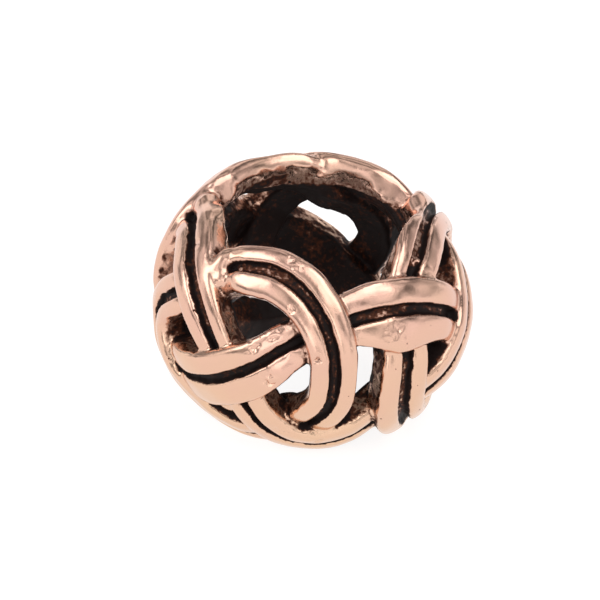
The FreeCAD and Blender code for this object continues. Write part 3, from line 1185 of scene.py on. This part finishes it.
@dataclass(frozen=True)
class CastBronze:
    """Copper-rich bronze, cast in a burnt-out wax mould, oxidised black and tumbled.

    Tumbling takes the oxide off whatever stands proud, so the ridges are bright rose metal and
    the grooves, the inside and the edges of the holes stay brown to black. Each pair is where
    a change begins and ends as the oxide deepens from 0 to 1. The golden height and share pairs
    instead paint the lower bare metal more golden, a painted reflection of the pale floor.
    """

    rose: str = "#DEB1A0"
    # The golden tone serves both random tone changes and the painted floor reflection low on the bead.
    golden: str = "#E0BB9C"
    brown: str = "#5A3120"
    black: str = "#1A0E0C"
    # Painted floor reflection: the heights over which the bare metal is painted more golden, and how
    # far.
    golden_reflection_height_mm: Pair = (7.0, 1.0)
    golden_reflection_share: Pair = (-0.25, 0.35)
    browning: Pair = (0.30, 0.52)
    blackening: Pair = (0.48, 0.72)
    metal_ends: Pair = (0.35, 0.70)
    dulling: Pair = (0.25, 0.60)
    roughness: float = 0.20
    oxide_roughness: float = 0.62
    oxide_specular: float = 0.18
    break_up_mm: float = 0.22
    break_up_swing: float = 0.16
    shade_mm: float = 2.6
    pit_mm: float = 0.75
    pit_edge: Pair = (0.05, 0.10)
    pit_oxide: float = 0.45
    grain_mm: float = 0.16
    grain_depth_mm: float = 0.012
    grain_strength: float = 0.35

    def material(self) -> bpy.types.Material:
        """Makes the material."""
        recipe = Recipe.begin(bpy.data.materials.new("tumbled_cast_bronze"), "Object")
        oxide = self.oxide(recipe)
        height = add_node(recipe.tree, "SeparateXYZ", {"Vector": recipe.place}).outputs["Z"]
        # Painted floor reflection: the lower the metal sits, the more golden it is painted, added to
        # random tone noise.
        top, bottom = self.golden_reflection_height_mm
        lower = recipe.mapped(height, (top * MM, bottom * MM), self.golden_reflection_share)
        tone_and_floor_reflection = recipe.total(recipe.noise(per_mm(self.shade_mm), 2.0), lower, True)
        metal = recipe.mixed(tone_and_floor_reflection, linear(self.rose), linear(self.golden))
        browned = recipe.mixed(recipe.mapped(oxide, self.browning, (0, 1)), metal, linear(self.brown))
        black = recipe.mapped(oxide, self.blackening, (0, 1), "SMOOTHSTEP")
        grain = recipe.noise(per_mm(self.grain_mm), 3.0)
        return recipe.finish({
            "Base Color": recipe.mixed(black, browned, linear(self.black)),
            "Metallic": recipe.mapped(oxide, self.metal_ends, (1, 0)),
            "Roughness": recipe.mapped(oxide, self.dulling, (self.roughness, self.oxide_roughness)),
            "Normal": recipe.bumped(grain, self.grain_strength, self.grain_depth_mm * MM),
            "Specular IOR Level": self.oxide_specular,
        })

    def oxide(self, recipe: Recipe) -> Socket:
        """Adds the nodes that say how much oxide is left.

        Args:
            recipe: The material's nodes.

        Returns:
            A value from 0, bare metal, to 1, black.
        """
        stain = add_node(recipe.tree, "Attribute", attribute_name="patina").outputs["Fac"]
        ragged = recipe.noise(per_mm(self.break_up_mm), 5.0, 0.6)
        swing = recipe.mapped(ragged, (0.3, 0.7), (-self.break_up_swing, self.break_up_swing))
        links = {"Vector": recipe.place, "Scale": per_mm(self.pit_mm)}
        pits = add_node(recipe.tree, "TexVoronoi", links).outputs["Distance"]
        pitted = recipe.mapped(pits, self.pit_edge, (self.pit_oxide, 0))
        return recipe.total(recipe.total(stain, swing, False), pitted, True)


@dataclass(frozen=True)
class PaleFloor:
    """Opal acrylic sheet, extruded with a fine tooth and lit from below.

    It leaves only a faint shadow under the bead.
    """

    white: str = "#F4F3F3"
    body: str = "#8A8A8A"
    roughness: float = 0.8
    glow: float = 0.95
    tooth_mm: float = 1.5
    tooth_depth_mm: float = 0.05
    tooth_strength: float = 0.1

    def material(self) -> bpy.types.Material:
        """Makes the material."""
        recipe = Recipe.begin(bpy.data.materials.new("opal_acrylic_sheet"), "Object")
        tooth = recipe.noise(per_mm(self.tooth_mm), 2.0)
        return recipe.finish({
            "Base Color": linear(self.body), "Roughness": self.roughness,
            "Emission Color": linear(self.white), "Emission Strength": self.glow,
            "Normal": recipe.bumped(tooth, self.tooth_strength, self.tooth_depth_mm * MM),
        })


@dataclass(frozen=True)
class Softbox:
    """A square soft light, placed by direction from the bead, in degrees and metres."""

    name: str
    azimuth: float
    elevation: float
    distance: float
    size: float
    brightness: float

    def build(self, target: Vector) -> None:
        """Adds the light, aimed at the bead.

        Args:
            target: The bead's middle.
        """
        data = bpy.data.lights.new(self.name, "AREA")
        data.shape = "SQUARE"
        data.size = self.size
        data.energy = self.brightness * math.pi * self.size ** 2
        lamp = bpy.data.objects.new(self.name, data)
        bpy.context.collection.objects.link(lamp)
        turn, rise = math.radians(self.azimuth), math.radians(self.elevation)
        level = math.cos(rise)
        away = Vector((level * math.sin(turn), -level * math.cos(turn), math.sin(rise)))
        lamp.location = target + away * self.distance
        lamp.rotation_euler = away.to_track_quat("Z", "Y").to_euler()
        LOG.info("light %s placed", self.name)


@dataclass
class Studio:
    """The pale floor, the soft lights and the camera, in metres and degrees."""

    target: Vector = field(default_factory=lambda: Vector((0, 0, 4.78 * MM)))
    floor_size: float = 4.0
    floor_cells: int = 8
    fold_scale: float = 2.8
    fold_span: Pair = (0.36, 0.62)
    fold_strength: Pair = (0.12, 1.25)
    camera_elevation: float = 33.0
    lean: float = 4.0
    distance: float = 0.230
    lens: float = 317.4
    sensor: float = 36.0
    nearest: float = 0.01
    aside: Pair = (-0.52 * MM, -0.04 * MM)
    lights: tuple[Softbox, ...] = (
        Softbox("key", 35, 62, 0.5, 0.40, 1.6),
        Softbox("left", -75, 35, 0.5, 0.30, 1.8),
        Softbox("front", -10, 12, 0.6, 0.25, 1.2),
    )

    def build(self) -> None:
        """Adds everything round the bead."""
        self.floor()
        self.surroundings()
        for light in self.lights:
            light.build(self.target)
        self.camera()

    def floor(self) -> None:
        """Lays the floor under the bead."""
        deselect_all()
        cells = self.floor_cells
        bpy.ops.mesh.primitive_grid_add(x_subdivisions=cells, y_subdivisions=cells, size=self.floor_size)
        floor = bpy.context.object
        floor.name = floor.data.name = "floor"
        floor.data.materials.append(PaleFloor().material())
        LOG.info("floor laid")

    def surroundings(self) -> None:
        """Gives the light tent's uneven white to the world, so that the metal has shades to show."""
        world = bpy.data.worlds.new("light_tent")
        bpy.context.scene.world = world
        recipe = Recipe.begin(world, "Generated")
        shade = recipe.mapped(recipe.noise(self.fold_scale, 1.0), self.fold_span, self.fold_strength)
        sky = add_node(recipe.tree, "Background", {"Color": (1, 1, 1, 1), "Strength": shade})
        add_node(recipe.tree, "OutputWorld", {"Surface": sky.outputs["Background"]})
        LOG.info("light tent set")

    def camera(self) -> None:
        """Sets the camera where the bead is seen from above its front, leaning a little."""
        rise, roll = math.radians(self.camera_elevation), math.radians(self.lean)
        back = Vector((0, -math.cos(rise), math.sin(rise)))
        level = Vector((1, 0, 0))
        top = back.cross(level)
        right = level * math.cos(roll) + top * math.sin(roll)
        up = top * math.cos(roll) - level * math.sin(roll)
        data = bpy.data.cameras.new("camera")
        data.lens = self.lens
        data.sensor_width = self.sensor
        data.clip_start = self.nearest
        camera = bpy.data.objects.new("camera", data)
        bpy.context.collection.objects.link(camera)
        turn = Matrix((right, up, back)).transposed().to_4x4()
        place = self.target + back * self.distance + right * self.aside[0] + up * self.aside[1]
        camera.matrix_world = Matrix.Translation(place) @ turn
        bpy.context.scene.camera = camera
        LOG.info("camera placed")


def main() -> None:
    """Builds the bead, the studio and the camera, and notes the sizes."""
    logging.basicConfig(level=logging.INFO, format="%(name)s %(message)s")
    casting = KnotBead().build()
    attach(casting, "root")
    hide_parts("knot_bead")
    Studio().build()
    bpy.context.scene.view_settings.view_transform = "Standard"
    deselect_all()


if __name__ == "__main__":
    main()
